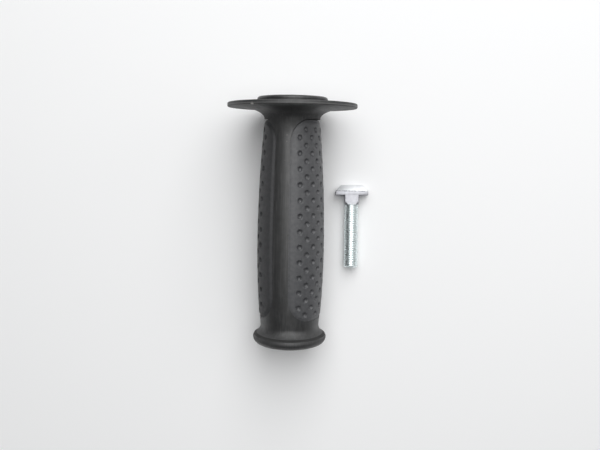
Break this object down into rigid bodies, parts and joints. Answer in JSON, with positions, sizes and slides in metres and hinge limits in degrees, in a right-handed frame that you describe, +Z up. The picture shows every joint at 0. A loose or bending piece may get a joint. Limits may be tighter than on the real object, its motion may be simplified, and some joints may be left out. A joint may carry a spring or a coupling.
{
  "type": "power tool side handle",
  "caption": "Round grip with a hand guard flange, dimpled soft side pads and a flared end, laid beside its T-headed clamp bolt.",
  "frame": {"origin": "on the table, under the middle of the box round the lying handle and its bolt", "axes": "+Z up from the table, +Y along the handle from its flared end toward its flange, +X toward the bolt"},
  "size_m": [0.0752, 0.1322, 0.0668],
  "materials": {
    "moulded_nylon": "charcoal moulded nylon with a fine satin grain and faint flow streaks",
    "soft_rubber": "matte soft grip rubber",
    "plain_steel": "plain turned steel",
    "zinc_plate": "bright blue-white zinc plating"
  },
  "bodies": {
    "root": {"handle_body": "moulded_nylon", "grip_pad_right": "soft_rubber", "grip_pad_left": "soft_rubber", "threaded_insert": "plain_steel", "t_bolt": "zinc_plate"}
  },
  "joints": []
}
